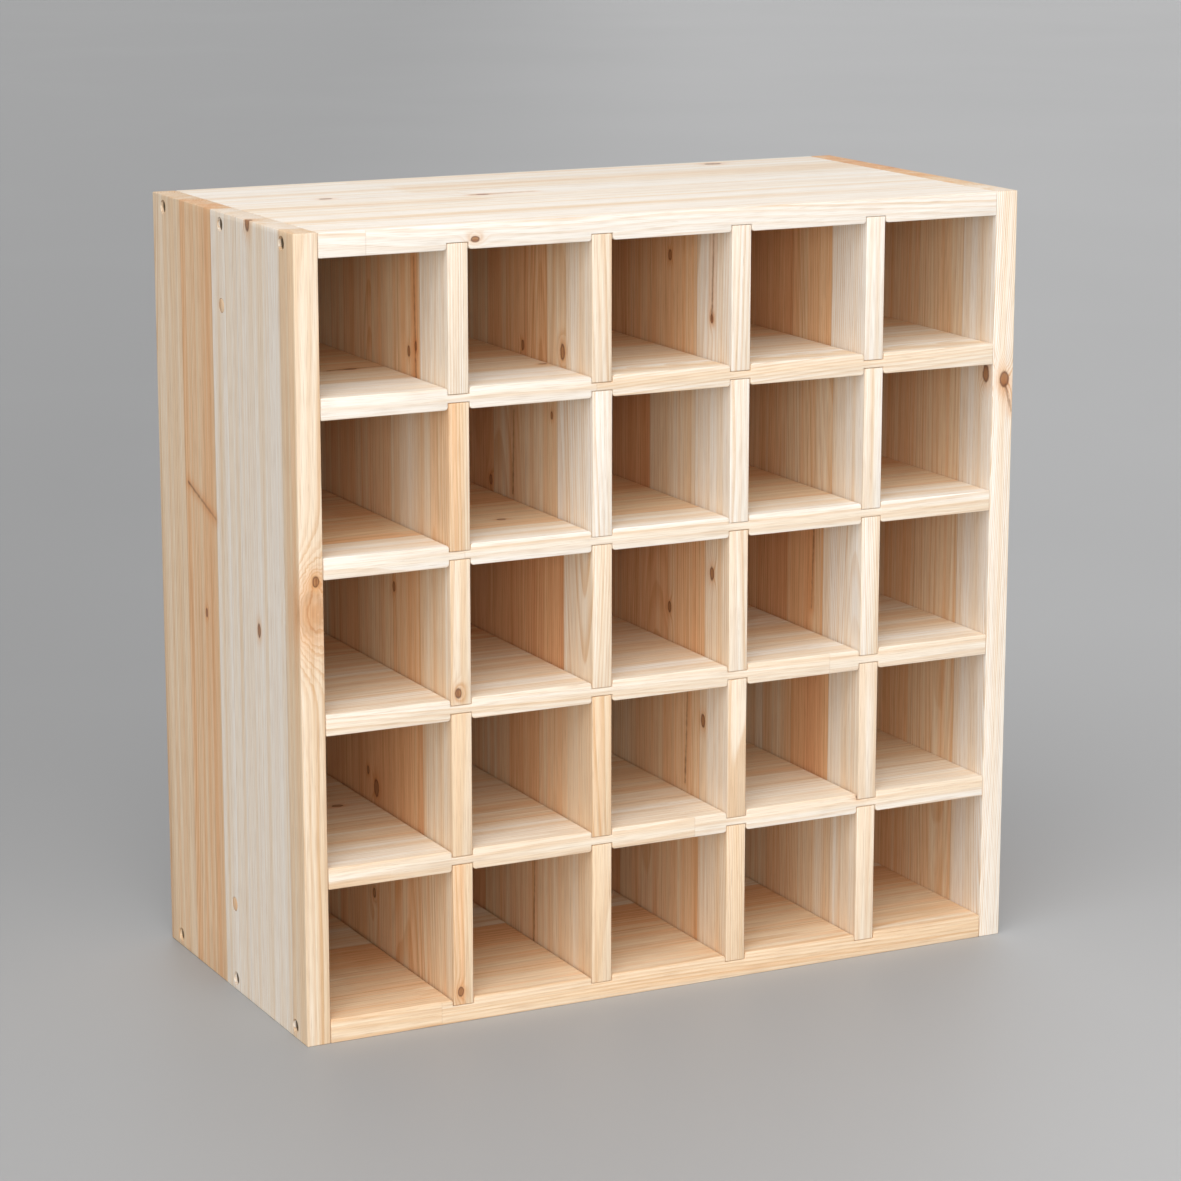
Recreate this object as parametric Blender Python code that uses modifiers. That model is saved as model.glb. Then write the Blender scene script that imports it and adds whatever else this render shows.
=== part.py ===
"""Pine wine rack with five rows of five square cells.

Two side panels stand full height and hold the top and bottom boards, which are screwed on through
the sides. Four shelves run the whole inner width. Twenty short dividers are let into grooves that
are cut front to back in the shelves and boards. A thin panel closes the back: it lies in a rebate
and is pinned on.

Metres, +Z up, +X to the right, open front facing -Y. The origin is the middle of the footprint, on
the surface that the rack stands on.
"""

import math

import bpy

# Driving dimensions
WIDTH = 0.520
DEPTH = 0.250
HEIGHT = 0.520
CELLS = 5
BOARD = 0.016          # thickness of the side panels and of the top and bottom boards
SHELF = 0.014          # thickness of the shelves and dividers
GROOVE_DEPTH = 0.0045
PANEL = 0.004          # thickness of the back panel
REBATE_WIDTH = 0.008   # how far the back panel laps onto the frame
ARRIS = 0.0012         # rounding of the boards' long edges
GAP = 0.0003           # air between pieces that touch
OVERSHOOT = 0.01       # how far a cutter runs past a face

# Screws through the sides into the ends of the top and bottom boards
SCREWS_PER_END = 3
SCREW_EDGE = 0.020
HEAD_RADIUS = 0.0044
HEAD_SINK = 0.0018
HEAD_LAND = 0.0005
SCREW_RADIUS = 0.0021
SCREW_LENGTH = 0.040
POINT_LENGTH = 0.006

# Wooden plugs in the side panels, halfway along the depth
PLUG_RADIUS = 0.0045
PLUG_LENGTH = 0.008
PLUG_HEIGHTS = (0.060, 0.460)

# Pins that hold the back panel
PIN_HEAD_RADIUS = 0.0016
PIN_HEAD = 0.0007
PIN_SINK = 0.0002
PIN_RADIUS = 0.0007
PIN_LENGTH = 0.016
PIN_POINT = 0.0015

# Worked out from the above
LEFT = -WIDTH / 2
FRONT = -DEPTH / 2
BACK = DEPTH / 2
CELL = (WIDTH - 2 * BOARD - (CELLS - 1) * SHELF) / CELLS
PITCH = CELL + SHELF
PANEL_FRONT = BACK - PANEL
GRID_BACK = PANEL_FRONT - GAP
SCREW_SPACING = (DEPTH - 2 * SCREW_EDGE) / (SCREWS_PER_END - 1)
SCREW_SPAN = HEIGHT - BOARD
PIN_INSET = BOARD - REBATE_WIDTH / 2

ROUND_STEPS = 16
PIN_STEPS = 8
BEVEL_SEGMENTS = 2
WELD = 0.00001

PINE = ((0.80, 0.64, 0.45), 0.55, 0.0)
PALE_PINE = ((0.86, 0.72, 0.54), 0.55, 0.0)
PANEL_WOOD = ((0.66, 0.48, 0.31), 0.65, 0.0)
STEEL = ((0.62, 0.58, 0.50), 0.35, 1.0)


def clear_scene():
    for thing in list(bpy.data.objects):
        bpy.data.objects.remove(thing, do_unlink=True)


def new_collection(name):
    collection = bpy.data.collections.new(name)
    bpy.context.scene.collection.children.link(collection)
    return collection


def put_in(thing, collection):
    for holder in list(thing.users_collection):
        holder.objects.unlink(thing)
    collection.objects.link(thing)


def finish_material(name, finish):
    colour, roughness, metallic = finish
    material = bpy.data.materials.new(name)
    material.use_nodes = True
    shader = material.node_tree.nodes["Principled BSDF"]
    shader.inputs["Base Color"].default_value = (*colour, 1.0)
    shader.inputs["Roughness"].default_value = roughness
    shader.inputs["Metallic"].default_value = metallic
    return material


def add_part(thing, finish):
    """Put a finished piece in the rack's collection with a material of its own."""
    put_in(thing, rack_parts)
    thing.parent = rack_origin
    thing.data.materials.append(finish_material(thing.name + "_finish", finish))


def add_cutter(thing):
    put_in(thing, cutters)
    thing.hide_render = True
    thing.display_type = "WIRE"
    return thing


def block(name, low, high):
    """A box between two opposite corners, with its scale applied."""
    bpy.ops.mesh.primitive_cube_add(size=1.0)
    thing = bpy.context.object
    thing.name = name
    thing.data.name = name
    thing.scale = [h - l for l, h in zip(low, high)]
    thing.location = [(l + h) / 2 for l, h in zip(low, high)]
    bpy.ops.object.transform_apply(location=False, rotation=False, scale=True)
    return thing


def turned(name, profile, axis, steps):
    """A turned shape about the object's own X or Y axis.

    The profile is (distance along the axis, radius) from the high end back to the low end, and
    it starts and ends on the axis.
    """
    if axis == "X":
        points = [(along, radius, 0.0) for along, radius in profile]
    else:
        points = [(0.0, along, radius) for along, radius in profile]
    mesh = bpy.data.meshes.new(name)
    mesh.from_pydata(points, [(i, i + 1) for i in range(len(points) - 1)], [])
    thing = bpy.data.objects.new(name, mesh)
    bpy.context.scene.collection.objects.link(thing)
    spin = thing.modifiers.new("turn", "SCREW")
    spin.axis = axis
    spin.steps = steps
    spin.render_steps = steps
    spin.use_merge_vertices = True
    spin.merge_threshold = WELD
    spin.use_smooth_shade = True
    return thing


def repeat(thing, count, step):
    """Array a cutter by a constant step."""
    array = thing.modifiers.new("repeat", "ARRAY")
    array.count = count
    array.use_relative_offset = False
    array.use_constant_offset = True
    array.constant_offset_displace = step


def mirror_across_rack(thing):
    mirror = thing.modifiers.new("other_side", "MIRROR")
    mirror.mirror_object = rack_origin
    mirror.merge_threshold = WELD


def round_edges(thing):
    bevel = thing.modifiers.new("arris", "BEVEL")
    bevel.width = ARRIS
    bevel.segments = BEVEL_SEGMENTS


def cut(thing, *tools):
    for tool in tools:
        boolean = thing.modifiers.new(tool.name, "BOOLEAN")
        boolean.operation = "DIFFERENCE"
        boolean.solver = "EXACT"
        boolean.object = tool


def member_start(index):
    """Distance from an outer face of the rack to the near face of shelf or divider 1, 2, 3 or 4."""
    return BOARD + index * PITCH - SHELF


def make_divider_slots():
    """All twenty slots that the dividers stand in: each reaches into the wood above and below."""
    start = LEFT + member_start(1)
    slot = block(
        "divider_slots",
        (start - GAP, FRONT - OVERSHOOT, BOARD - GROOVE_DEPTH),
        (start + SHELF + GAP, BACK + OVERSHOOT, BOARD + CELL + GROOVE_DEPTH),
    )
    repeat(slot, CELLS - 1, (PITCH, 0, 0))
    repeat(slot, CELLS, (0, 0, PITCH))
    return add_cutter(slot)


def make_panel_rebate():
    inset = BOARD - REBATE_WIDTH - GAP
    return add_cutter(block(
        "panel_rebate",
        (LEFT + inset, GRID_BACK, inset),
        (-LEFT - inset, BACK + OVERSHOOT, HEIGHT - inset),
    ))


def make_screw_holes():
    """Sunk head, clearance hole and pilot hole for every screw."""
    mouth = HEAD_RADIUS + GAP
    bore = SCREW_RADIUS + GAP
    seat = HEAD_SINK + HEAD_LAND + GAP
    profile = [
        (SCREW_LENGTH + HEAD_SINK + GAP, 0.0),
        (SCREW_LENGTH + HEAD_SINK + GAP, bore),
        (seat + mouth - bore, bore),
        (seat, mouth),
        (-OVERSHOOT, mouth),
        (-OVERSHOOT, 0.0),
    ]
    holes = turned("screw_holes", profile, "X", ROUND_STEPS)
    holes.location = (LEFT, FRONT + SCREW_EDGE, BOARD / 2)
    repeat(holes, SCREWS_PER_END, (0, SCREW_SPACING, 0))
    repeat(holes, 2, (0, 0, SCREW_SPAN))
    mirror_across_rack(holes)
    return add_cutter(holes)


def make_plug_holes():
    profile = [
        (PLUG_LENGTH + GAP, 0.0),
        (PLUG_LENGTH + GAP, PLUG_RADIUS + GAP),
        (-OVERSHOOT, PLUG_RADIUS + GAP),
        (-OVERSHOOT, 0.0),
    ]
    holes = turned("plug_holes", profile, "X", ROUND_STEPS)
    holes.location = (LEFT, 0.0, PLUG_HEIGHTS[0])
    repeat(holes, 2, (0, 0, PLUG_HEIGHTS[1] - PLUG_HEIGHTS[0]))
    mirror_across_rack(holes)
    return add_cutter(holes)


def make_pin_holes(name, x, z, x_step, z_step):
    """Four pin holes, at the corners of a rectangle on the back of the rack."""
    head = PIN_HEAD_RADIUS + GAP
    bore = PIN_RADIUS + GAP
    profile = [
        (OVERSHOOT, 0.0),
        (OVERSHOOT, head),
        (-PIN_SINK - PIN_HEAD - GAP, head),
        (-PIN_SINK - PIN_HEAD - GAP, bore),
        (-PIN_SINK - PIN_LENGTH - GAP, bore),
        (-PIN_SINK - PIN_LENGTH - GAP, 0.0),
    ]
    holes = turned(name, profile, "Y", PIN_STEPS)
    holes.location = (x, BACK, z)
    repeat(holes, 2, (x_step, 0, 0))
    repeat(holes, 2, (0, 0, z_step))
    return add_cutter(holes)


def make_side(name, left_face):
    side = block(name, (left_face, FRONT, 0.0), (left_face + BOARD, BACK, HEIGHT))
    round_edges(side)
    cut(side, panel_rebate, screw_holes, plug_holes, pin_columns)
    add_part(side, PINE)


def make_board(name, underside):
    """The top or the bottom board, between the sides."""
    board = block(
        name,
        (LEFT + BOARD + GAP, FRONT, underside),
        (-LEFT - BOARD - GAP, BACK, underside + BOARD),
    )
    round_edges(board)
    cut(board, panel_rebate, divider_slots, screw_holes, pin_rows)
    add_part(board, PALE_PINE)


def make_shelf(row):
    underside = member_start(row)
    shelf = block(
        f"shelf_{row}",
        (LEFT + BOARD + GAP, FRONT, underside),
        (-LEFT - BOARD - GAP, GRID_BACK, underside + SHELF),
    )
    round_edges(shelf)
    cut(shelf, divider_slots)
    add_part(shelf, PALE_PINE)


def make_divider(row, column):
    start = LEFT + member_start(column)
    floor = BOARD + (row - 1) * PITCH
    reach = GROOVE_DEPTH - GAP
    divider = block(
        f"divider_r{row}_c{column}",
        (start, FRONT, floor - reach),
        (start + SHELF, GRID_BACK, floor + CELL + reach),
    )
    round_edges(divider)
    add_part(divider, PINE)


def make_back_panel():
    inset = BOARD - REBATE_WIDTH
    panel = block(
        "back_panel",
        (LEFT + inset, PANEL_FRONT, inset),
        (-LEFT - inset, BACK, HEIGHT - inset),
    )
    cut(panel, pin_rows, pin_columns)
    add_part(panel, PANEL_WOOD)


def make_screws():
    neck = HEAD_SINK + HEAD_LAND + HEAD_RADIUS - SCREW_RADIUS
    tip = HEAD_SINK + SCREW_LENGTH
    profile = [
        (tip, 0.0),
        (tip - POINT_LENGTH, SCREW_RADIUS),
        (neck, SCREW_RADIUS),
        (HEAD_SINK + HEAD_LAND, HEAD_RADIUS),
        (HEAD_SINK, HEAD_RADIUS),
        (HEAD_SINK, 0.0),
    ]
    for side, face, turn in (("left", LEFT, 0.0), ("right", -LEFT, math.pi)):
        for level, height in (("bottom", BOARD / 2), ("top", HEIGHT - BOARD / 2)):
            for place in range(SCREWS_PER_END):
                screw = turned(f"screw_{side}_{level}_{place + 1}", profile, "X", ROUND_STEPS)
                screw.location = (face, FRONT + SCREW_EDGE + place * SCREW_SPACING, height)
                screw.rotation_euler = (0.0, 0.0, turn)
                add_part(screw, STEEL)


def make_plugs():
    for side, middle in (("left", LEFT + PLUG_LENGTH / 2), ("right", -LEFT - PLUG_LENGTH / 2)):
        for level, height in zip(("lower", "upper"), PLUG_HEIGHTS):
            profile = [
                (PLUG_LENGTH / 2, 0.0),
                (PLUG_LENGTH / 2, PLUG_RADIUS),
                (-PLUG_LENGTH / 2, PLUG_RADIUS),
                (-PLUG_LENGTH / 2, 0.0),
            ]
            plug = turned(f"plug_{side}_{level}", profile, "X", ROUND_STEPS)
            plug.location = (middle, 0.0, height)
            add_part(plug, PINE)


def make_pins():
    profile = [
        (-PIN_SINK, 0.0),
        (-PIN_SINK, PIN_HEAD_RADIUS),
        (-PIN_SINK - PIN_HEAD, PIN_HEAD_RADIUS),
        (-PIN_SINK - PIN_HEAD, PIN_RADIUS),
        (-PIN_SINK - PIN_LENGTH + PIN_POINT, PIN_RADIUS),
        (-PIN_SINK - PIN_LENGTH, 0.0),
    ]
    places = {}
    for side, sign in (("left", -1), ("right", 1)):
        for level, height in (("lower", HEIGHT / 4), ("upper", HEIGHT * 3 / 4)):
            places[f"pin_{side}_{level}"] = (sign * (WIDTH / 2 - PIN_INSET), height)
        for level, height in (("bottom", PIN_INSET), ("top", HEIGHT - PIN_INSET)):
            places[f"pin_{level}_{side}"] = (sign * WIDTH / 4, height)
    for name, (x, z) in places.items():
        pin = turned(name, profile, "Y", PIN_STEPS)
        pin.location = (x, BACK, z)
        add_part(pin, STEEL)


clear_scene()
rack_parts = new_collection("wine_rack")
cutters = new_collection("cutters")
rack_origin = bpy.data.objects.new("rack_origin", None)
rack_parts.objects.link(rack_origin)

divider_slots = make_divider_slots()
panel_rebate = make_panel_rebate()
screw_holes = make_screw_holes()
plug_holes = make_plug_holes()
pin_rows = make_pin_holes("pin_rows", LEFT / 2, PIN_INSET, WIDTH / 2, HEIGHT - 2 * PIN_INSET)
pin_columns = make_pin_holes(
    "pin_columns", LEFT + PIN_INSET, HEIGHT / 4, WIDTH - 2 * PIN_INSET, HEIGHT / 2
)

make_side("side_left", LEFT)
make_side("side_right", -LEFT - BOARD)
make_board("bottom_board", 0.0)
make_board("top_board", HEIGHT - BOARD)
for row in range(1, CELLS):
    make_shelf(row)
for row in range(1, CELLS + 1):
    for column in range(1, CELLS):
        make_divider(row, column)
make_back_panel()
make_screws()
make_plugs()
make_pins()
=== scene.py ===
"""Pine wine rack with five rows of five cells: the boards, back sheet and fixings, with their finishes."""

import math
import random

import bmesh
import bpy
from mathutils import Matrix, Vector


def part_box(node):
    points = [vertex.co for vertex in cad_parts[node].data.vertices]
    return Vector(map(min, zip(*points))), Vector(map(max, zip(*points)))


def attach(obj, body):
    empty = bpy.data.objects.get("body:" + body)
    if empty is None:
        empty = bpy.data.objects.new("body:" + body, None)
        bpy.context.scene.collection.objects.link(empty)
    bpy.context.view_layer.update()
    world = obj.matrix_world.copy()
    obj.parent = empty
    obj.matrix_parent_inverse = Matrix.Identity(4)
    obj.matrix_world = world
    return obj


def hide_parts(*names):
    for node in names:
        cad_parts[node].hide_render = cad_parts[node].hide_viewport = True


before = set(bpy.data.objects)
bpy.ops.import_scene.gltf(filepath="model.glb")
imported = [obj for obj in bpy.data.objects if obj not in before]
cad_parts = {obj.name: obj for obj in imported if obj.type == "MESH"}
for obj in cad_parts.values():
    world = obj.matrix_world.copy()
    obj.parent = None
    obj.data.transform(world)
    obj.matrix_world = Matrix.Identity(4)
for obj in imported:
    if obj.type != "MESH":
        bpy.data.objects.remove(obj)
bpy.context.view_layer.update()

MM = 0.001
X, Y, Z = 0, 1, 2

# Shaping
ARRIS = 0.7 * MM           # rounding of the sawn edges of every board
ARRIS_STEPS = 3
MOUTH_ARRIS = 2.1 * MM     # wider rounding where a groove breaks out of a face
MOUTH_STEPS = 4
SHEET_ARRIS = 0.4 * MM
PLUG_ARRIS = 0.35 * MM
SMALL_STEPS = 2            # steps in the rounding of the back sheet and the plugs
SHARP = math.radians(30)   # edges sharper than this are rounded
STRAIGHT_BACK = 0.9        # share of an edge's length that runs back, if it is a groove's edge
AIR = 0.3 * MM             # gap round a fixing or the back sheet
GROOVE_AIR = 0.45 * MM     # gap on each side of a let-in board
OVERSHOOT = 10 * MM        # how far a cutting tool runs past a face
SETTLE = 0.2 * MM          # how far a divider may sit to one side of its groove

# Screws
HEAD_RADIUS = 4.4 * MM
HEAD_SINK = 1.8 * MM
HEAD_LAND = 0.5 * MM
HEAD_EDGE = 0.2 * MM       # the head's rounded rim: how deep, and how far in
HEAD_RIM = 0.25 * MM
SHANK_RADIUS = 2.1 * MM
POINT_LENGTH = 6 * MM
POINT_RADIUS = 0.15 * MM
RECESS_ARM = 2.3 * MM
RECESS_HALF_WIDTH = 0.5 * MM
RECESS_DEPTH = 1.9 * MM
RECESS_TAPER = 0.45
ROUND_SIDES = 40

# Pins: the shares are of the head's radius
PIN_HEAD = 0.7 * MM
PIN_HEAD_EDGE = 0.2 * MM
PIN_HEAD_TOP_SHARE = 0.8
PIN_SHANK_SHARE = 0.44
PIN_BORE_SHARE = 0.6
PIN_POINT = 1.5 * MM
PIN_POINT_SHARE = 0.05
PIN_SIDES = 24

ROWS = COLUMNS = 5

# A glue joint of the left side that has opened at its foot
OPEN_JOINT_FROM_FRONT = 142 * MM
OPEN_JOINT_WIDTH = 0.5 * MM
OPEN_JOINT_DEPTH = 1.5 * MM
OPEN_JOINT_HEIGHT = 48 * MM

SEED = 7
dice = random.Random(SEED)


# ---------------------------------------------------------------- modelling


def deselect_all():
    bpy.ops.object.select_all(action="DESELECT")


def pick(piece):
    deselect_all()
    piece.select_set(True)
    bpy.context.view_layer.objects.active = piece


def settle_in_mesh(piece):
    """Leave the object at the origin, unturned and unscaled, with its place in its mesh."""
    pick(piece)
    bpy.ops.object.transform_apply(location=True, rotation=True, scale=True)


def box_between(name, low, high):
    deselect_all()
    middle = [(a + b) / 2 for a, b in zip(low, high)]
    bpy.ops.mesh.primitive_cube_add(size=1.0, location=middle)
    piece = bpy.context.object
    piece.name = piece.data.name = name
    piece.scale = [b - a for a, b in zip(low, high)]
    settle_in_mesh(piece)
    return piece


def edit_only(piece, kind, wanted):
    """Enter edit mode with only the edges or faces selected that a test picks."""
    pick(piece)
    bpy.ops.object.mode_set(mode="EDIT")
    bpy.ops.mesh.select_mode(type=kind)
    mesh = bmesh.from_edit_mesh(piece.data)
    for thing in (*mesh.verts, *mesh.edges, *mesh.faces):
        thing.select = False
    for thing in {"EDGE": mesh.edges, "FACE": mesh.faces}[kind]:
        if wanted(thing):
            thing.select_set(True)
    bmesh.update_edit_mesh(piece.data)


def is_outer_corner(edge):
    return len(edge.link_faces) == 2 and edge.is_convex and edge.calc_face_angle(0.0) > SHARP


def round_arrises(piece, width=ARRIS, steps=ARRIS_STEPS, wanted=is_outer_corner):
    edit_only(piece, "EDGE", wanted)
    bpy.ops.mesh.bevel(offset=width, segments=steps, profile=0.5, affect="EDGES", clamp_overlap=True)
    bpy.ops.object.mode_set(mode="OBJECT")


def shade(piece):
    pick(piece)
    bpy.ops.object.shade_smooth_by_angle(angle=SHARP)


def joined(name, pieces):
    deselect_all()
    for piece in pieces:
        piece.select_set(True)
    bpy.context.view_layer.objects.active = pieces[0]
    if len(pieces) > 1:
        bpy.ops.object.join()
    whole = bpy.context.view_layer.objects.active
    whole.name = name
    return whole


def cut_away(piece, tool):
    """Take a cutting tool's shape out of a piece."""
    pick(piece)
    cut = piece.modifiers.new("cut", "BOOLEAN")
    cut.operation = "DIFFERENCE"
    cut.solver = "EXACT"
    cut.object = tool
    bpy.ops.object.modifier_apply(modifier=cut.name)
    bpy.data.objects.remove(tool, do_unlink=True)


def turned(name, profile, axis, sides):
    """A turned piece: a disc drawn out along an axis in rings.

    The profile is (distance along the axis, radius), from the first ring to the last.
    """
    turn = {X: (0.0, math.pi / 2, 0.0), Y: (-math.pi / 2, 0.0, 0.0)}[axis]
    (start, radius), rest = profile[0], profile[1:]
    deselect_all()
    bpy.ops.mesh.primitive_circle_add(vertices=sides, radius=radius, fill_type="NGON", rotation=turn)
    piece = bpy.context.object
    piece.name = piece.data.name = name
    piece.location[axis] = start
    settle_in_mesh(piece)
    bpy.ops.object.mode_set(mode="EDIT")
    bpy.ops.mesh.select_mode(type="FACE")
    bpy.ops.mesh.select_all(action="SELECT")
    for along, ring in rest:
        step = [0.0, 0.0, 0.0]
        step[axis] = along - start
        bpy.ops.mesh.extrude_region_move(TRANSFORM_OT_translate={"value": step})
        centre = [0.0, 0.0, 0.0]
        centre[axis] = along
        size = [ring / radius] * 3
        size[axis] = 1.0
        bpy.ops.transform.resize(value=size, center_override=centre)
        start, radius = along, ring
    bpy.ops.mesh.select_all(action="SELECT")
    bpy.ops.mesh.normals_make_consistent(inside=False)
    bpy.ops.object.mode_set(mode="OBJECT")
    return piece


def copy_at(master, name, place, turn=(0.0, 0.0, 0.0)):
    """A copy of a master at a place, with a mesh of its own."""
    twin = master.copy()
    twin.data = master.data.copy()
    twin.name = twin.data.name = name
    bpy.context.scene.collection.objects.link(twin)
    twin.rotation_euler = turn
    twin.location = place
    settle_in_mesh(twin)
    return twin


def put_away(master):
    bpy.data.objects.remove(master, do_unlink=True)


def on_axis(node, axis, along=0.0):
    """A point on the axis of a fixing, at a distance along it."""
    low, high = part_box(node)
    point = (low + high) / 2
    point[axis] = along
    return point


def bores_at(nodes, profile, axis, sides):
    """Cutting tools for the bores of fixings: one is turned, and copied at each fixing."""
    master = turned("bore_master", profile, axis, sides)
    tools = [copy_at(master, f"bore_{node}", on_axis(node, axis)) for node in nodes]
    put_away(master)
    return tools


def coat(piece, finish):
    piece.data.materials.clear()
    piece.data.materials.append(finish)


def belongs(piece, node):
    """A finished piece stands for one node of the frame."""
    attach(piece, "root")
    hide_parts(node)


# ---------------------------------------------------------------- shader maths


class Value:
    """A shader socket that can be used in arithmetic."""

    def __init__(self, finish, socket):
        self.finish = finish
        self.socket = socket

    def _math(self, operation, first, second):
        return self.finish.math(operation, first, second)

    def __add__(self, other):
        return self._math("ADD", self, other)

    def __radd__(self, other):
        return self._math("ADD", other, self)

    def __sub__(self, other):
        return self._math("SUBTRACT", self, other)

    def __rsub__(self, other):
        return self._math("SUBTRACT", other, self)

    def __mul__(self, other):
        return self._math("MULTIPLY", self, other)

    def __rmul__(self, other):
        return self._math("MULTIPLY", other, self)

    def __truediv__(self, other):
        return self._math("DIVIDE", self, other)

    def __rtruediv__(self, other):
        return self._math("DIVIDE", other, self)

    def __gt__(self, other):
        return self._math("GREATER_THAN", self, other)


def set_stops(ramp, stops):
    """Give a colour ramp its stops, each a place and a colour."""
    while len(ramp.elements) < len(stops):
        ramp.elements.new(0.5)
    for element, (place, colour) in zip(ramp.elements, stops):
        element.position = place
        element.color = (*colour, 1.0)


class Finish:
    """A material under construction."""

    def __init__(self, name):
        self.material = bpy.data.materials.new(name)
        self.material.use_nodes = True
        self.tree = self.material.node_tree
        self.shader = self.tree.nodes["Principled BSDF"]

    def node(self, kind, settings=None, inputs=None, output=0):
        """Add a node: its settings or stops first, then the values or links of its sockets."""
        made = self.tree.nodes.new(kind)
        for key, setting in (settings or {}).items():
            if key == "stops":
                set_stops(made.color_ramp, setting)
            else:
                setattr(made, key, setting)
        for key, given in (inputs or {}).items():
            if isinstance(given, Value):
                self.tree.links.new(given.socket, made.inputs[key])
            else:
                made.inputs[key].default_value = given
        return Value(self, made.outputs[output])

    def math(self, operation, first, second=0.0):
        return self.node("ShaderNodeMath", {"operation": operation}, {0: first, 1: second})

    def vector_math(self, operation, first, second=(0.0, 0.0, 0.0), output=0):
        return self.node("ShaderNodeVectorMath", {"operation": operation}, {0: first, 1: second}, output)

    def dot(self, first, second):
        return self.vector_math("DOT_PRODUCT", first, second, output="Value")

    def length(self, vector):
        return self.vector_math("LENGTH", vector, output="Value")

    def scaled(self, vector, factor):
        return self.node("ShaderNodeVectorMath", {"operation": "SCALE"}, {0: vector, "Scale": factor})

    def parts(self, vector):
        split = self.node("ShaderNodeSeparateXYZ", None, {0: vector})
        return [Value(self, out) for out in split.socket.node.outputs]

    def vector(self, x, y, z):
        return self.node("ShaderNodeCombineXYZ", None, {0: x, 1: y, 2: z})

    def attribute(self, name, output="Vector"):
        return self.node("ShaderNodeAttribute", {"attribute_name": name}, None, output)

    def noise(self, place, scale, detail=2.0, roughness=0.5):
        inputs = {"Vector": place, "Scale": scale, "Detail": detail, "Roughness": roughness}
        return self.node("ShaderNodeTexNoise", None, inputs)

    def drawn_out(self, place, scales, detail=2.0, roughness=0.5):
        """Noise with a scale of its own along each axis."""
        return self.noise(self.vector_math("MULTIPLY", place, scales), 1.0, detail, roughness)

    def chance(self, place):
        """Three random numbers that depend only on a vector."""
        colour = self.node("ShaderNodeTexWhiteNoise", {"noise_dimensions": "3D"}, {"Vector": place}, "Color")
        return self.parts(colour)

    def ease(self, value, start, end):
        """Goes smoothly from 0 to 1 as a value goes from start to end."""
        inputs = {"Value": value, "From Min": start, "From Max": end}
        return self.node("ShaderNodeMapRange", {"interpolation_type": "SMOOTHSTEP"}, inputs)

    def bell(self, value):
        """Falls from 1 at zero to nothing past about 2."""
        return self.math("EXPONENT", (value * value) * -1.0)

    def mix(self, factor, first, second, blend="MIX"):
        settings = {"data_type": "RGBA", "blend_type": blend, "clamp_factor": True}
        return self.node("ShaderNodeMix", settings, {0: factor, 6: first, 7: second}, 2)

    def tinted(self, colour, tint):
        return self.mix(1.0, colour, (*tint, 1.0), "MULTIPLY")

    def ramp(self, factor, stops):
        return self.node("ShaderNodeValToRGB", {"stops": stops}, {0: factor})

    def bump(self, height, strength, distance):
        return self.node(
            "ShaderNodeBump", None, {"Height": height, "Strength": strength, "Distance": distance}
        )

    def drive(self, socket, value):
        self.tree.links.new(value.socket, self.shader.inputs[socket])


# ---------------------------------------------------------------- pine

KNOTS = 5
CREAM = (0.93, 0.885, 0.82)
PALE = (0.905, 0.81, 0.685)
HONEY = (0.85, 0.665, 0.465)
TAN = (0.84, 0.535, 0.305)
ROSE = (0.76, 0.415, 0.22)
WOOD_TONES = [(0.0, CREAM), (0.16, PALE), (0.42, HONEY), (0.72, TAN), (1.0, ROSE)]
KNOT_HEART = (0.24, 0.085, 0.032)
KNOT_RIM = (0.11, 0.032, 0.014)
KNOT_GLOW = (0.82, 0.47, 0.20)
PITCH = (0.17, 0.07, 0.03)
GLUE = (0.42, 0.26, 0.15)
PORE = (0.50, 0.33, 0.19)

# What the wood's colour is multiplied by
LATE_WOOD_TINT = (0.80, 0.60, 0.40)
STREAK_TINT = (0.72, 0.55, 0.40)
FIBRE_TINT = (0.60, 0.48, 0.38)
END_GRAIN_TINT = (0.70, 0.53, 0.36)

# How fine each pattern is along, across and into the grain, per metre
WANDER_SCALES = (2.4, 16.0, 16.0)
WAVER_SCALES = (9.0, 60.0, 60.0)
BAND_SCALES = (1.3, 95.0, 95.0)
STREAK_SCALES = (7.0, 520.0, 520.0)
FIBRE_SCALES = (45.0, 1900.0, 1900.0)
FLECK_SCALES = (60.0, 900.0, 900.0)
SAW_SCALES = (400.0, 240.0, 1100.0)
PORE_SCALE = 950.0
RAGGED_SCALE = 260.0
HEART_RING_SCALE = 9000.0
SEED_STEP = 3.7            # metres between one board's place in the patterns and the next's

FINGER = 2.0 * MM          # half the pitch of a finger joint
FINGER_SLOPE = 4.5
FINGER_SPREAD = 0.24       # metres that a panel's finger joints are scattered over
FINGER_TONE = 0.34         # how far the tone may change past a finger joint
GLUE_LINE = 0.28 * MM
FINGER_LINE = 0.35 * MM
KNOT_STRETCH = (0.62, 1.0, 1.0)
FIRM_KNOT = 4.9 * MM       # a knot up to this radius has a dark rim
SOFT_KNOT = 6.0 * MM       # a knot from this radius up is only a swirl
RING_SPACING = 1.3 * MM
RING_SPACING_RANGE = 1.5 * MM
RING_WANDER = 11 * MM
RING_WAVER = 1.1 * MM
PITCH_CORE = 0.9 * MM
PITCH_HALO = 5.0 * MM
PITCH_RAGGED = 2.2 * MM


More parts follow.
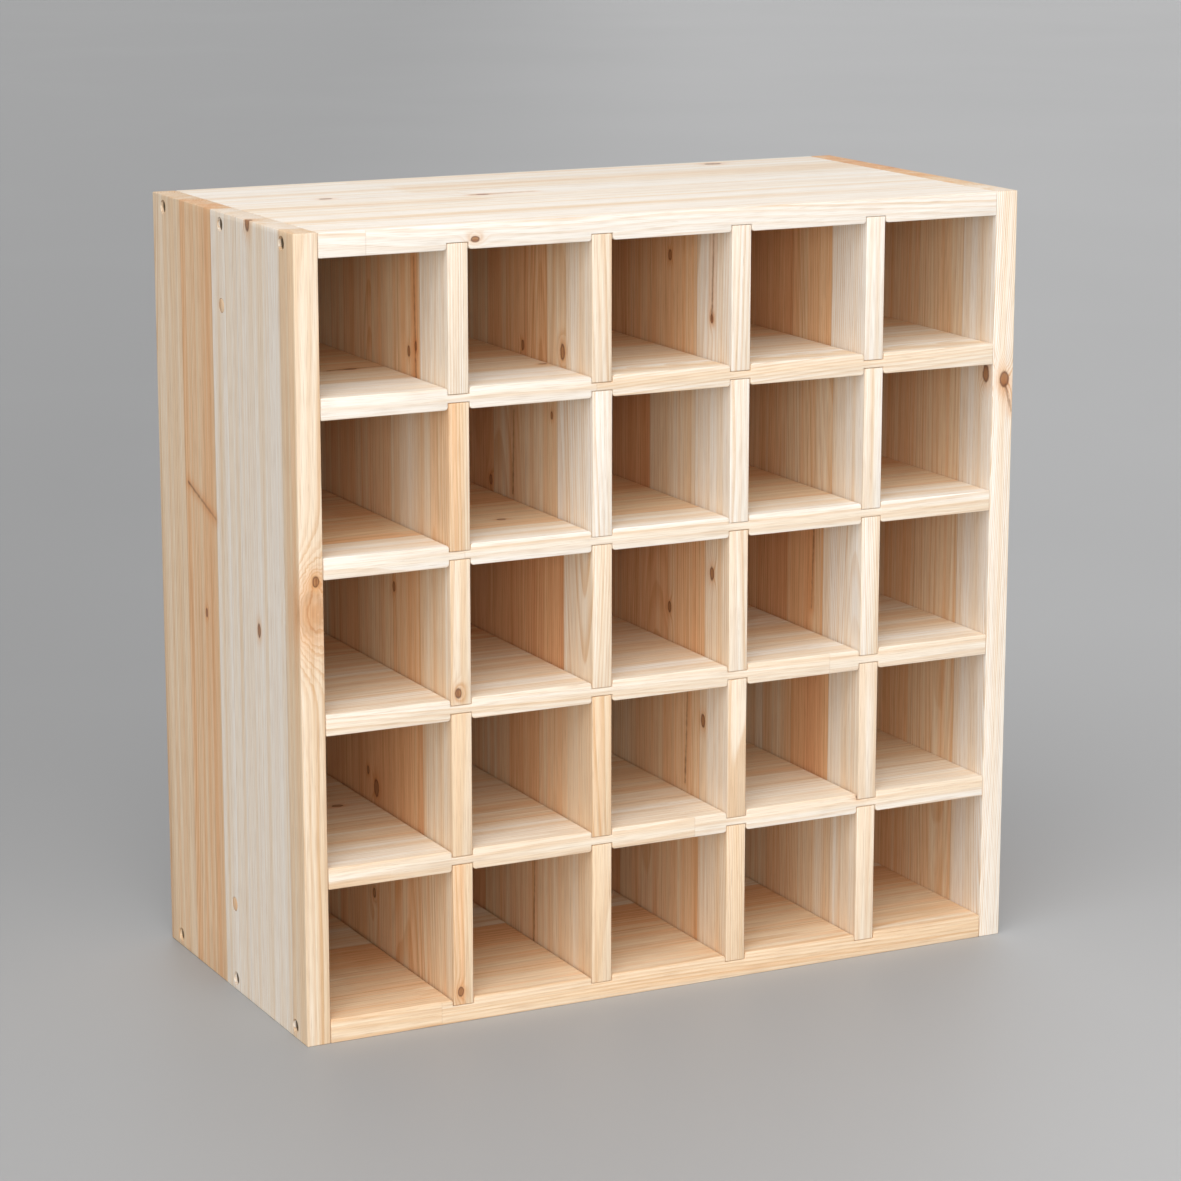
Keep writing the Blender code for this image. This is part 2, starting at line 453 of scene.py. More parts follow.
def strips_of(pine, along, across, seed, finger, edges, tones):
    """The glued strip that a point is in, its tone and luck, and its distance past a finger joint."""
    strip = 0.0
    tone = tones[0]
    for edge, before, after in zip(edges, tones, tones[1:]):
        past_edge = across > edge
        strip = strip + past_edge
        tone = tone + past_edge * (after - before)
    shift, _, _ = pine.chance(pine.vector(strip, seed, 7.0))
    here = along + pine.math("PINGPONG", across, FINGER) * FINGER_SLOPE
    joint = finger + (shift - 0.5) * FINGER_SPREAD
    past = here > joint
    luck = pine.chance(pine.vector(strip + past * 0.5, seed, 3.0))
    tone = tone + past * (luck[2] - 0.5) * FINGER_TONE
    return strip, tone, luck, here - joint


def knots_of(pine, place, ragged):
    """How far the knots push the rings aside, and how much of a point is heart, rim and glow."""
    pull = heart = rim = glow = 0.0
    for number in range(1, KNOTS + 1):
        centre = pine.attribute(f"knot_{number}")
        size = pine.attribute(f"knot_{number}", "Alpha")
        offset = pine.vector_math("MULTIPLY", pine.vector_math("SUBTRACT", place, centre), KNOT_STRETCH)
        far = pine.length(offset) / size + ragged * 0.55
        firm = pine.ease(size, SOFT_KNOT, FIRM_KNOT)
        pull = pull + pine.bell(far * 0.42) * size * 1.9
        heart = heart + pine.ease(far, 1.05, 0.75) * (firm * 0.8 + 0.2)
        rim = rim + pine.bell((far - 0.98) * 5.0) * (firm * 0.85 + 0.15)
        glow = glow + pine.bell(far * 0.5)
    return pull, heart, rim, glow


def rings_of(pine, wide, grain, luck, pull):
    """Growth rings about a pith line that lies off the board and leans along it."""
    along, across, deep = grain
    side, flip, twist = luck
    wander = pine.drawn_out(wide, WANDER_SCALES) - 0.5
    waver = pine.drawn_out(wide, WAVER_SCALES, 1.0) - 0.5
    from_across = across - (side * 0.30 - 0.03)
    from_deep = deep - ((flip * -0.055 - 0.012) + (along * (twist - 0.5)) * 0.11)
    from_pith = pine.math("SQRT", from_across * from_across + from_deep * from_deep)
    spacing = RING_SPACING + flip * RING_SPACING_RANGE
    rings = (from_pith + wander * RING_WANDER + waver * RING_WAVER + pull) / spacing
    phase = pine.math("FRACT", rings)
    late = pine.ease(phase, 0.30, 0.86) * pine.ease(phase, 1.0, 0.90)
    return pine.math("FLOOR", rings), late, from_pith


def pitch_of(pine, place, ragged):
    """The board's pitch streak, and the glow beside it."""
    start = pine.attribute("streak_start")
    reach = pine.vector_math("SUBTRACT", pine.attribute("streak_end"), start)
    here = pine.vector_math("SUBTRACT", place, start)
    share = pine.dot(here, reach) / pine.dot(reach, reach)
    share = pine.node("ShaderNodeClamp", None, {0: share, 1: 0.0, 2: 1.0})
    far = pine.length(pine.vector_math("SUBTRACT", here, pine.scaled(reach, share)))
    far = far + ragged * PITCH_RAGGED
    return pine.bell(far / PITCH_CORE) * (1.0 - share * 0.55), pine.bell(far / PITCH_HALO)


def make_pine():
    """Edge-glued pine: strips with tones of their own, growth rings, fibres, knots and end grain.

    Each board carries its own grain place, joints, tones and knots on its points.
    """
    pine = Finish("rack_pine")
    place = pine.attribute("grain")
    grain = along, across, deep = pine.parts(place)
    first, second, third = pine.parts(pine.attribute("joints"))
    fourth, finger, seed = pine.parts(pine.attribute("extras"))
    edges = (first, second, third, fourth)
    more_tones = pine.parts(pine.attribute("more_tones"))
    contrast = more_tones.pop()
    tones = pine.parts(pine.attribute("tones")) + more_tones
    wide = pine.vector(along + seed * SEED_STEP, across, deep)
    ragged = pine.noise(wide, RAGGED_SCALE) - 0.5

    strip, tone, luck, past_finger = strips_of(pine, along, across, seed, finger, edges, tones)
    pull, heart, rim, glow = knots_of(pine, place, ragged)
    ring, late, from_pith = rings_of(pine, wide, grain, luck, pull)
    pitch, pitch_glow = pitch_of(pine, place, ragged)
    year, _, _ = pine.chance(pine.vector(ring, strip, seed))

    # broad bands, growth rings, streaks and fibres
    bands = pine.drawn_out(wide, BAND_SCALES, 3.0, 0.6)
    streaks = pine.drawn_out(wide, STREAK_SCALES, 2.0, 0.6)
    fibres = pine.drawn_out(wide, FIBRE_SCALES, 1.0)
    flecks = pine.ease(pine.drawn_out(wide, FLECK_SCALES, 1.0), 0.66, 0.76)
    colour = pine.ramp(tone + (bands - 0.5) * 1.20, WOOD_TONES)
    grain_mix = late * contrast * (0.30 + year * 0.70)
    colour = pine.mix(grain_mix, colour, pine.tinted(colour, LATE_WOOD_TINT))
    streak_mix = pine.ease(streaks, 0.48, 0.74) * (0.20 + pine.ease(tone, 0.05, 0.75) * 0.34)
    colour = pine.mix(streak_mix, colour, pine.tinted(colour, STREAK_TINT))
    fibre_mix = pine.ease(fibres, 0.42, 0.72) * 0.32 + flecks * 0.26
    colour = pine.mix(fibre_mix, colour, pine.tinted(colour, FIBRE_TINT))

    # hairline joints between strips and lengths
    joint = 0.0
    for edge in edges:
        joint = joint + pine.bell((across - edge) / GLUE_LINE)
    finger_line = pine.bell(past_finger / FINGER_LINE)
    colour = pine.mix(joint * 0.50 + finger_line * 0.22, colour, (*GLUE, 1.0))

    # knots and pitch streak
    heart_rings = pine.math("SINE", from_pith * HEART_RING_SCALE) * 0.5 + 0.5
    heart_colour = pine.mix(heart_rings * 0.3, (*KNOT_HEART, 1.0), (*KNOT_GLOW, 1.0))
    colour = pine.mix(glow * 0.65, colour, pine.tinted(colour, KNOT_GLOW))
    colour = pine.mix(heart * 0.85, colour, heart_colour)
    colour = pine.mix(rim * 0.80, colour, (*KNOT_RIM, 1.0))
    colour = pine.mix(pitch_glow * 0.45, colour, pine.tinted(colour, KNOT_GLOW))
    colour = pine.mix(pitch * 0.8, colour, (*PITCH, 1.0))

    # end grain: darker and rougher
    normal = pine.node("ShaderNodeNewGeometry", None, None, "Normal")
    facing = pine.math("ABSOLUTE", pine.dot(normal, pine.attribute("fibre")))
    end_grain = pine.ease(facing, 0.45, 0.85)
    pores = pine.noise(place, PORE_SCALE, 2.0, 0.7)
    saw = pine.drawn_out(place, SAW_SCALES)
    end_colour = pine.mix(0.55, colour, (*END_GRAIN_TINT, 1.0), "MULTIPLY")
    end_colour = pine.mix(pine.ease(pores, 0.5, 0.72) * 0.35, end_colour, (*PORE, 1.0))
    pine.drive("Base Color", pine.mix(end_grain * 0.42, colour, end_colour))

    rough = 0.60 - late * 0.07 + (fibres - 0.5) * 0.12 + end_grain * 0.14 - heart * 0.12
    pine.drive("Roughness", rough)
    height = late * 0.30 + fibres * 0.45 + streaks * 0.4 - joint * 0.9 - heart * 0.2
    height = height + end_grain * (pores * 1.3 + saw * 1.5)
    pine.drive("Normal", pine.bump(height, 0.30, 0.25 * MM))
    pine.shader.inputs["Specular IOR Level"].default_value = 0.35
    return pine.material


# ---------------------------------------------------------------- back sheet and metal

VENEER_DARK = (0.70, 0.52, 0.34, 1.0)
VENEER_LIGHT = (0.79, 0.62, 0.43, 1.0)
VENEER_FIGURE = (0.56, 0.37, 0.22, 1.0)
VENEER_PORE = (0.40, 0.25, 0.14, 1.0)
FIGURE_SCALES = (9.0, 1.0, 1.6)
VENEER_PORE_SCALES = (1500.0, 1500.0, 60.0)
SCREW_DARK = (0.055, 0.038, 0.022, 1.0)
SCREW_LIGHT = (0.16, 0.12, 0.07, 1.0)
PIN_DARK = (0.42, 0.41, 0.40, 1.0)
PIN_LIGHT = (0.66, 0.65, 0.63, 1.0)


def make_plywood():
    """Thin rotary-cut sheet: wide wavy figure, fine pores along the grain."""
    ply = Finish("back_sheet_veneer")
    place = ply.node("ShaderNodeTexCoord", None, None, "Object")
    sideways, _, height_up = ply.parts(place)
    wave = ply.drawn_out(place, FIGURE_SCALES, 3.0, 0.55) - 0.5
    rings = ply.math("FRACT", (sideways * 9.0 + wave * 4.2 + height_up * 0.6))
    figure = ply.ease(rings, 0.25, 0.85) * ply.ease(rings, 1.0, 0.9)
    pores = ply.drawn_out(place, VENEER_PORE_SCALES, 1.0)
    clouds = ply.noise(place, 9.0, 3.0, 0.6)
    colour = ply.mix(clouds, VENEER_DARK, VENEER_LIGHT)
    colour = ply.mix(figure * 0.45, colour, VENEER_FIGURE)
    colour = ply.mix(ply.ease(pores, 0.55, 0.75) * 0.4, colour, VENEER_PORE)
    ply.drive("Base Color", colour)
    ply.drive("Roughness", 0.62 + (pores - 0.5) * 0.2)
    ply.drive("Normal", ply.bump(pores + figure * 0.4, 0.22, 0.2 * MM))
    return ply.material


def make_metal(name, dark, light, scale, detail, roughness, dull, dull_range, bump, depth):
    """Bare or passivated steel: one fine mottle drives its colour, its dullness and its dents."""
    metal = Finish(name)
    place = metal.node("ShaderNodeTexCoord", None, None, "Object")
    mottle = metal.noise(place, scale, detail, roughness)
    metal.drive("Base Color", metal.mix(mottle, dark, light))
    metal.drive("Roughness", dull + mottle * dull_range)
    metal.drive("Normal", metal.bump(mottle, bump, depth))
    metal.shader.inputs["Metallic"].default_value = 1.0
    return metal.material


# ---------------------------------------------------------------- what each board carries

# Knots that show, as (along the grain, back from the front, into the thickness, radius), in
# millimetres from the board's low front corner.
KNOT_PLACES = {
    "side_left": [
        (258, 70, 0, 2.4), (250, 165, 0, 1.7), (519, 77, 0, 3.2), (283, 0, 8, 8.0), (303, 0, 11, 2.0),
    ],
    "side_right": [(393, 0, 9, 3.1), (396, 9, 0, 3.3), (140, 60, 16, 4.0), (405, 180, 16, 5.0)],
    "top_board": [(71, 160, 16, 2.4), (174, 138, 16, 2.4), (399, 235, 16, 3.4), (105, 0, 6, 1.7)],
    "bottom_board": [(300, 120, 16, 3.0), (120, 60, 0, 4.5), (380, 180, 0, 3.5)],
    "shelf_1": [(389, 0, 12, 1.6), (60, 130, 14, 2.2)],
    "shelf_2": [(230, 90, 14, 2.6)],
    "shelf_3": [(330, 150, 14, 2.4), (150, 60, 14, 1.8)],
    "shelf_4": [(60, 96, 14, 2.2), (180, 60, 14, 1.6), (290, 110, 14, 2.4)],
    "divider_r1_c1": [(9, 0, 5, 1.8), (40, 130, 0, 2.0)],
    "divider_r2_c1": [(15, 124, 0, 3.4), (24, 138, 0, 1.6)],
    "divider_r2_c3": [(59, 35, 0, 2.5)],
    "divider_r3_c1": [(8, 0, 5, 2.0), (60, 90, 0, 1.9)],
    "divider_r3_c3": [(62, 24, 0, 2.5), (27, 84, 0, 2.1)],
    "divider_r4_c2": [(11, 155, 0, 2.0), (70, 60, 0, 1.5)],
    "divider_r5_c1": [(19, 61, 0, 1.9), (24, 50, 0, 1.6)],
    "divider_r5_c2": [(10, 103, 0, 1.9), (14, 43, 0, 2.9)],
    "divider_r5_c3": [(66, 86, 0, 2.1), (31, 27, 0, 1.7)],
}

# Pitch streaks, from and to, in the same way
STREAKS = {
    "side_left": ((333, 194, 0), (317, 144, 0)),
    "side_right": ((389, 0, 10), (371, 0, 15)),
    "top_board": ((166, 138, 16), (212, 139, 16)),
    "shelf_4": ((44, 96, 14), (96, 99, 14)),
    "shelf_3": ((300, 150, 14), (372, 148, 14)),
    "divider_r5_c1": ((2, 50, 0), (80, 52, 0)),
    "divider_r5_c3": ((31, 27, 0), (88, 25, 0)),
    "divider_r4_c2": ((8, 120, 0), (64, 118, 0)),
    "divider_r3_c4": ((88, 64, 0), (20, 66, 0)),
    "divider_r2_c3": ((10, 60, 0), (80, 57, 0)),
    "divider_r1_c2": ((0, 90, 0), (70, 88, 0)),
}

# Out of the way of every board
FAR_AWAY = (9.0, 9.0, 9.0)
NO_STREAK = ((9000, 0, 0), (9100, 0, 0))
NO_JOINTS = (900, 910, 920, 930)
NO_FINGER_JOINT = 2.0

# Edge joints, back from the front, and the tone of each strip between them: 0 pale, 1 rose brown
SIDE_LEFT_JOINTS = (24, 97, 142, 199)
SIDE_LEFT_TONES = (0.38, 0.06, 0.10, 0.60, 0.42)
SIDE_RIGHT_JOINTS = (40, 96, 150, 204)
SIDE_RIGHT_TONES = (0.07, 0.46, 0.62, 0.84, 0.72)

# Dividers whose strips show: their joints and tones, in the same way
SHOWN_STRIPS = {
    "divider_r5_c1": ((43, 78, 121, 190), (0.05, 0.66, 0.50, 0.62, 0.36)),
    "divider_r5_c2": ((38, 66, 100, 158), (0.20, 0.46, 0.74, 0.70, 0.52)),
    "divider_r1_c1": ((50, 95, 140, 190), (0.46, 0.60, 0.52, 0.70, 0.50)),
    "divider_r2_c2": ((36, 80, 128, 176), (0.40, 0.54, 0.68, 0.46, 0.60)),
    "divider_r4_c1": ((30, 92, 150, 204), (0.46, 0.30, 0.55, 0.66, 0.40)),
    "divider_r3_c1": ((48, 92, 150, 204), (0.36, 0.62, 0.50, 0.66, 0.40)),
    "divider_r3_c3": ((33, 86, 157, 300), (0.30, 0.64, 0.76, 0.64, 0.60)),
}

# How strongly the growth rings show
SIDE_CONTRAST = 0.85
LEVEL_CONTRAST = 0.60
DIVIDER_CONTRAST = 0.70
PLUG_CONTRAST = 0.5

# Seeds of the boards' patterns
SHELF_SEED = 5.0
DIVIDER_SEED = 20
PLUG_SEED = 60


def write_points(piece, name, kind, values):
    layer = piece.data.attributes.new(name, kind, "POINT")
    key = "vector" if kind == "FLOAT_VECTOR" else "color"
    layer.data.foreach_set(key, [number for value in values for number in value])


def carry_grain(piece, node, along_axis, joints, tones, contrast, finger, seed):
    """Write on a board what the pine finish reads: grain place, joints, tones, knots, streak."""
    low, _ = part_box(node)
    deep_axis = X if along_axis == Z else Z
    points = [vertex.co for vertex in piece.data.vertices]
    count = len(points)

    def same(value):
        return [value] * count

    grain = [(p[along_axis] - low[along_axis], p[Y] - low[Y], p[deep_axis] - low[deep_axis]) for p in points]
    write_points(piece, "grain", "FLOAT_VECTOR", grain)
    edges = [edge * MM for edge in joints]
    write_points(piece, "joints", "FLOAT_VECTOR", same(edges[:3]))
    write_points(piece, "extras", "FLOAT_VECTOR", same((edges[3], finger, seed)))
    write_points(piece, "tones", "FLOAT_VECTOR", same(tones[:3]))
    write_points(piece, "more_tones", "FLOAT_VECTOR", same((tones[3], tones[4], contrast)))
    fibre = [0.0, 0.0, 0.0]
    fibre[along_axis] = 1.0
    write_points(piece, "fibre", "FLOAT_VECTOR", same(fibre))
    knots = [tuple(number * MM for number in knot) for knot in KNOT_PLACES.get(node, [])]
    knots += [(*FAR_AWAY, MM)] * (KNOTS - len(knots))
    for number, knot in enumerate(knots, 1):
        write_points(piece, f"knot_{number}", "FLOAT_COLOR", same(knot))
    start, end = STREAKS.get(node, NO_STREAK)
    write_points(piece, "streak_start", "FLOAT_VECTOR", same([number * MM for number in start]))
    write_points(piece, "streak_end", "FLOAT_VECTOR", same([number * MM for number in end]))
    coat(piece, pine)


def random_joints():
    """Four joints between strips about 30 to 65 mm wide, from the front back."""
    edges = []
    edge = dice.uniform(32, 52)
    for _ in range(4):
        edges.append(edge)
        edge += dice.uniform(38, 66)
    return edges


def random_tones(front_low, front_high, low, high):
    return [dice.uniform(front_low, front_high)] + [dice.uniform(low, high) for _ in range(4)]


# ---------------------------------------------------------------- the boards


def groove_tools(node):
    """Cutting blocks for the grooves that a board takes its dividers in."""
    low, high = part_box(node)
    tools = []
    for row in range(1, ROWS + 1):
        for column in range(1, COLUMNS):
            near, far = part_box(f"divider_r{row}_c{column}")
            if near.z < high.z and far.z > low.z:
                tools.append(box_between(
                    "groove",
                    (near.x - GROOVE_AIR, low.y - OVERSHOOT, near.z - AIR),
                    (far.x + GROOVE_AIR, high.y + OVERSHOOT, far.z + AIR),
                ))
    return joined("grooves", tools)


def rebate_tool():
    near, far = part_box("back_panel")
    return box_between(
        "rebate",
        (near.x - AIR, near.y - AIR, near.z - AIR),
        (far.x + AIR, far.y + OVERSHOOT, far.z + AIR),
    )


def make_level_board(name, node, seed, front, darkest):
    """A shelf, or the top or bottom board: grooved, with every sawn edge eased.

    The tone is that of the front strip, and the darkest one of those behind it.
    """
    low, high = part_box(node)
    board = box_between(name, low, high)
    if node.endswith("board"):
        cut_away(board, rebate_tool())
    cut_away(board, groove_tools(node))

    def is_groove_mouth(edge):
        first, second = (vertex.co for vertex in edge.verts)
        runs_back = abs(second.y - first.y) > STRAIGHT_BACK * edge.calc_length()
        inside = low.x + ARRIS < first.x < high.x - ARRIS
        return runs_back and inside and is_outer_corner(edge)

    round_arrises(board, MOUTH_ARRIS, MOUTH_STEPS, is_groove_mouth)
    round_arrises(board)
    shade(board)
    tones = random_tones(front, front, darkest / 3, darkest)
    joints, finger = random_joints(), dice.uniform(0.14, 0.36)
    carry_grain(board, node, X, joints, tones, LEVEL_CONTRAST, finger, seed)
    belongs(board, node)


def make_divider(row, column):
    node = f"divider_r{row}_c{column}"
    low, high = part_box(node)
    lean = Vector((dice.uniform(-SETTLE, SETTLE), 0.0, 0.0))
    board = box_between(f"upright_r{row}_c{column}", low + lean, high + lean)
    round_arrises(board)
    shade(board)
    # painted light: the higher an upright stands, the paler its front strip, a stand-in for the light
    # falling off towards the floor
    joints, tones = random_joints(), random_tones(0.26 - 0.05 * row, 0.50 - 0.08 * row, 0.32, 0.95)
    joints, tones = SHOWN_STRIPS.get(node, (joints, tones))
    seed = DIVIDER_SEED + row * COLUMNS + column
    carry_grain(board, node, Z, joints, tones, DIVIDER_CONTRAST, NO_FINGER_JOINT, seed)
    belongs(board, node)


def fixing_nodes(kind, side):
    return sorted(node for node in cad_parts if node.startswith(f"{kind}_{side}_"))


def open_joint_tool(corner):
    """The foot of one glue joint has opened: a narrow slit up the outer face."""
    middle = corner.y + OPEN_JOINT_FROM_FRONT
    return box_between(
        "open_joint",
        (corner.x - OVERSHOOT, middle - OPEN_JOINT_WIDTH / 2, corner.z - OVERSHOOT),
        (corner.x + OPEN_JOINT_DEPTH, middle + OPEN_JOINT_WIDTH / 2, corner.z + OPEN_JOINT_HEIGHT),
    )


def make_side(name, node, side, joints, tones, seed):
    low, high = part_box(node)
    panel = box_between(name, low, high)
    round_arrises(panel)
    cut_away(panel, rebate_tool())
    outward = -1 if side == "left" else 1
    face = low.x if side == "left" else high.x
    seat = face - outward * (HEAD_SINK + HEAD_LAND + AIR)
    mouth, bore = HEAD_RADIUS + AIR, SHANK_RADIUS + AIR
    screw_bore = [
        (face + outward * OVERSHOOT, mouth),
        (seat, mouth),
        (face - outward * (HEAD_SINK + HEAD_LAND + AIR + mouth - bore), bore),
        (face - outward * (high.x - low.x + OVERSHOOT), bore),
    ]
    screws, plugs = fixing_nodes("screw", side), fixing_nodes("plug", side)
    near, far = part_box(plugs[0])
    radius = (far.z - near.z) / 2 + AIR
    plug_bore = [
        (face + outward * OVERSHOOT, radius),
        (face - outward * (far.x - near.x + AIR), radius),
    ]
    tools = bores_at(screws, screw_bore, X, ROUND_SIDES) + bores_at(plugs, plug_bore, X, ROUND_SIDES)
    if side == "left":
        tools.append(open_joint_tool(low))
    cut_away(panel, joined("bores", tools))
    shade(panel)
    carry_grain(panel, node, Z, joints, tones, SIDE_CONTRAST, NO_FINGER_JOINT, seed)
    belongs(panel, node)


# ---------------------------------------------------------------- fixings


def make_screw_master():
    """A sunk-head screw along +X, its head face at the origin, with a cross recess."""
    low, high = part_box("screw_left_top_1")
    length = high.x - low.x
    neck = HEAD_LAND + HEAD_RADIUS - SHANK_RADIUS
    screw = turned("screw_master", [
        (0.0, HEAD_RADIUS - HEAD_RIM),
        (HEAD_EDGE, HEAD_RADIUS),
        (HEAD_LAND, HEAD_RADIUS),
        (neck, SHANK_RADIUS),
        (length - POINT_LENGTH, SHANK_RADIUS),
        (length, POINT_RADIUS),
    ], X, ROUND_SIDES)
    for wide, tall in ((RECESS_ARM, RECESS_HALF_WIDTH), (RECESS_HALF_WIDTH, RECESS_ARM)):
        recess = box_between("recess", (-OVERSHOOT, -wide, -tall), (RECESS_DEPTH, wide, tall))
        edit_only(recess, "FACE", lambda face: face.normal.x > 0.9)
        bpy.ops.transform.resize(value=(1.0, RECESS_TAPER, RECESS_TAPER))
        bpy.ops.object.mode_set(mode="OBJECT")
        cut_away(screw, recess)
    shade(screw)
    return screw


def place_screws(master):
    for side, about in (("left", 0.0), ("right", math.pi)):
        for node in fixing_nodes("screw", side):
            low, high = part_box(node)
            head = on_axis(node, X, low.x if side == "left" else high.x)
            turn = (dice.uniform(0.0, math.pi), 0.0, about)
            screw = copy_at(master, node.replace("screw", "sunk_screw"), head, turn)
            coat(screw, screw_metal)
            belongs(screw, node)
    put_away(master)


def make_plugs():
    for side in ("left", "right"):
        nodes = fixing_nodes("plug", side)
        low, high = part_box(nodes[0])
        radius = (high.z - low.z) / 2
        master = turned("plug_master", [(low.x, radius), (high.x, radius)], X, ROUND_SIDES)
        round_arrises(master, PLUG_ARRIS, SMALL_STEPS)
        shade(master)
        for number, node in enumerate(nodes):
            plug = copy_at(master, node.replace("plug", "wood_plug"), on_axis(node, X))
            tones = [dice.uniform(0.45, 0.65)] * 5
            seed = PLUG_SEED + number + len(side)
            carry_grain(plug, node, Z, NO_JOINTS, tones, PLUG_CONTRAST, NO_FINGER_JOINT, seed)
            belongs(plug, node)
        put_away(master)


def pin_nodes():
    return sorted(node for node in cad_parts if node.startswith("pin_"))


def make_pins():
    low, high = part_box(pin_nodes()[0])
    head = (high.x - low.x) / 2
    master = turned("pin_master", [
        (high.y, head * PIN_HEAD_TOP_SHARE),
        (high.y - PIN_HEAD_EDGE, head),
        (high.y - PIN_HEAD, head),
        (high.y - PIN_HEAD, head * PIN_SHANK_SHARE),
        (low.y + PIN_POINT, head * PIN_SHANK_SHARE),
        (low.y, head * PIN_POINT_SHARE),
    ], Y, PIN_SIDES)
    shade(master)
    coat(master, pin_metal)
    for node in pin_nodes():
        pin = copy_at(master, node.replace("pin", "panel_pin"), on_axis(node, Y))
        belongs(pin, node)
    put_away(master)


def make_back_sheet():
    """The thin sheet in its rebate, with the pins' holes."""
    low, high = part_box("back_panel")
    sheet = box_between("back_sheet", low, high)
    round_arrises(sheet, SHEET_ARRIS, SMALL_STEPS)
    near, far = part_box(pin_nodes()[0])
    head = (far.x - near.x) / 2 + AIR / 2
    seat = far.y - PIN_HEAD - AIR
    pin_bore = [
        (high.y + OVERSHOOT, head),
        (seat, head),
        (seat, head * PIN_BORE_SHARE),
        (low.y - OVERSHOOT, head * PIN_BORE_SHARE),
    ]
    cut_away(sheet, joined("pin_bores", bores_at(pin_nodes(), pin_bore, Y, PIN_SIDES)))
    shade(sheet)
    coat(sheet, plywood)
    belongs(sheet, "back_panel")


# ---------------------------------------------------------------- studio

# the floor's grey where its painted light is least and where it is most
FLOOR_IN_PAINTED_SHADE = (0.250, 0.252, 0.256, 1.0)
FLOOR_IN_PAINTED_LIGHT = (0.505, 0.510, 0.518, 1.0)
FLOOR_SIZE = 60.0
TO_THE_SIDE = (0.895, -0.446, 0.0)
TO_THE_BACK = (0.446, 0.895, 0.0)
LAMP_DISTANCE = 3.0

# Each softbox: the direction it shines from, its strength, how many degrees wide it is, its colour
SOFTBOXES = {
    "key_softbox": ((-0.34, -0.46, 0.82), 1.95, 55.0, (1.0, 0.985, 0.965)),
    "front_softbox": ((-0.52, -0.85, 0.14), 0.72, 45.0, (1.0, 0.985, 0.965)),
    "low_softbox": ((-0.25, -0.95, 0.20), 0.95, 24.0, (1.0, 0.95, 0.88)),
    "back_softbox": ((0.45, 0.80, 0.45), 0.55, 60.0, (0.98, 0.99, 1.0)),
}
AIR_COLOUR = (0.98, 0.985, 1.0, 1.0)
AIR_STRENGTH = 0.38

SENSOR_MM = 36.0
LENS_MM = 111.2
CAMERA_PLACE = (-1.080, -2.177, 0.799)
CAMERA_YAW = math.radians(26.46)
CAMERA_TILT = math.radians(12.8)


def make_floor():
    """A pale floor with painted light: a little lighter towards the front and the right."""
    deselect_all()
    bpy.ops.mesh.primitive_plane_add(size=FLOOR_SIZE, location=(0.0, 0.0, 0.0))
    floor = bpy.context.object
    floor.name = "studio_floor"
    settle_in_mesh(floor)
    ground = Finish("pale_floor")
    place = ground.node("ShaderNodeTexCoord", None, None, "Object")
    cloud = ground.noise(place, 1.2, 3.0) - 0.5
    across = ground.dot(place, TO_THE_SIDE)
    back = ground.dot(place, TO_THE_BACK)
    # painted light: lighter towards the front and the right, a stand-in for the light falling off across the
    # floor; the cloud is the floor's own mottle
    pale = ground.ease(back, 0.5, -0.8) * 0.55 + ground.ease(across, -0.7, 0.5) * 0.45 + cloud * 0.16
    ground.drive("Base Color", ground.mix(pale, FLOOR_IN_PAINTED_SHADE, FLOOR_IN_PAINTED_LIGHT))
    ground.shader.inputs["Roughness"].default_value = 0.55
    floor.data.materials.append(ground.material)


def add_softbox(name, come_from, strength, spread, colour):
    """Light from a wide, far softbox in one direction."""
    light = bpy.data.lights.new(name, "SUN")
    light.angle = math.radians(spread)
    light.energy = strength
    light.color = colour
    lamp = bpy.data.objects.new(name, light)
    lamp.location = Vector(come_from) * LAMP_DISTANCE
    lamp.rotation_euler = Vector(come_from).to_track_quat("Z", "Y").to_euler()
    bpy.context.scene.collection.objects.link(lamp)


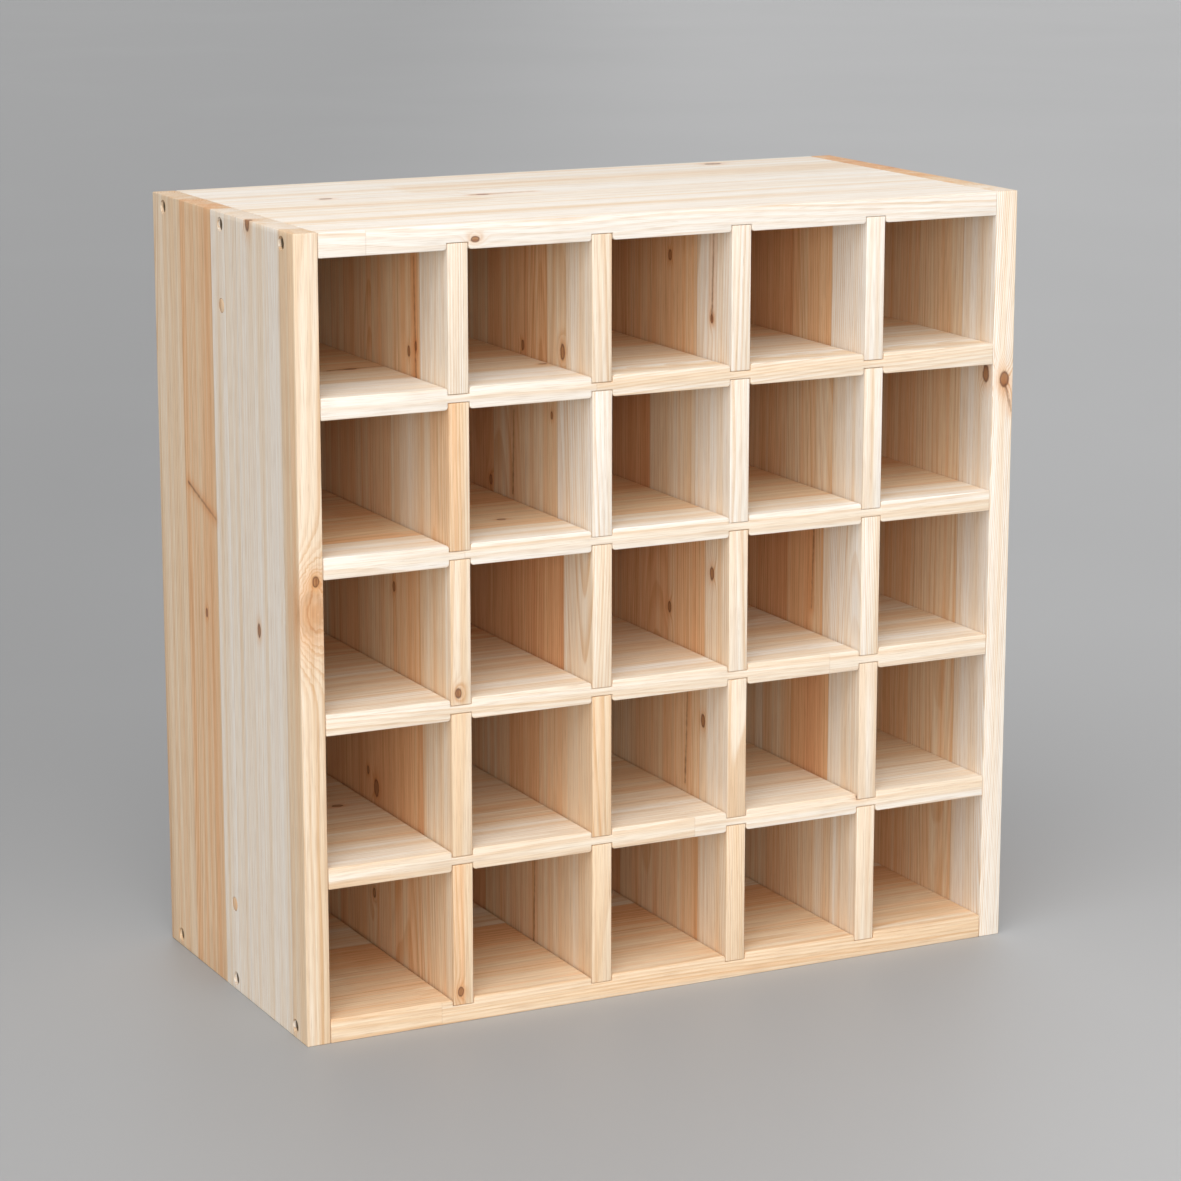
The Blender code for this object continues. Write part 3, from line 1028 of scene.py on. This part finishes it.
def make_studio():
    make_floor()
    for name, settings in SOFTBOXES.items():
        add_softbox(name, *settings)
    world = bpy.data.worlds.new("studio_air")
    world.use_nodes = True
    background = world.node_tree.nodes["Background"]
    background.inputs["Color"].default_value = AIR_COLOUR
    background.inputs["Strength"].default_value = AIR_STRENGTH
    bpy.context.scene.world = world
    bpy.context.scene.view_settings.view_transform = "Standard"


def make_camera():
    lens = bpy.data.cameras.new("studio_camera")
    lens.sensor_width = SENSOR_MM
    lens.lens = LENS_MM
    camera = bpy.data.objects.new("studio_camera", lens)
    camera.location = CAMERA_PLACE
    camera.rotation_euler = (math.pi / 2 - CAMERA_TILT, 0.0, -CAMERA_YAW)
    bpy.context.scene.collection.objects.link(camera)
    bpy.context.scene.camera = camera


make_camera()
make_studio()

pine = make_pine()
plywood = make_plywood()
screw_metal = make_metal(
    "passivated_steel", SCREW_DARK, SCREW_LIGHT, scale=900.0, detail=3.0, roughness=0.6,
    dull=0.34, dull_range=0.2, bump=0.15, depth=0.05 * MM,
)
pin_metal = make_metal(
    "bright_steel", PIN_DARK, PIN_LIGHT, scale=1600.0, detail=2.0, roughness=0.5,
    dull=0.34, dull_range=0.22, bump=0.3, depth=0.08 * MM,
)

make_side("left_panel", "side_left", "left", SIDE_LEFT_JOINTS, SIDE_LEFT_TONES, seed=1.0)
make_side("right_panel", "side_right", "right", SIDE_RIGHT_JOINTS, SIDE_RIGHT_TONES, seed=2.0)
# Painted light: the front strips of the top, bottom and shelf boards are paler the higher a board stands, a
# stand-in for the light falling off towards the floor, and the top board is pale all through as a painted
# highlight on its lit top; the rest of their tone is the pine's own
make_level_board("bottom_plank", "bottom_board", seed=3.0, front=0.46, darkest=0.80)
make_level_board("top_plank", "top_board", seed=4.0, front=0.05, darkest=0.20)
for row in range(1, ROWS):
    make_level_board(
        f"shelf_plank_{row}", f"shelf_{row}", SHELF_SEED + row, front=0.32 - 0.07 * row, darkest=0.80
    )
for row in range(1, ROWS + 1):
    for column in range(1, COLUMNS):
        make_divider(row, column)
make_back_sheet()
place_screws(make_screw_master())
make_plugs()
make_pins()
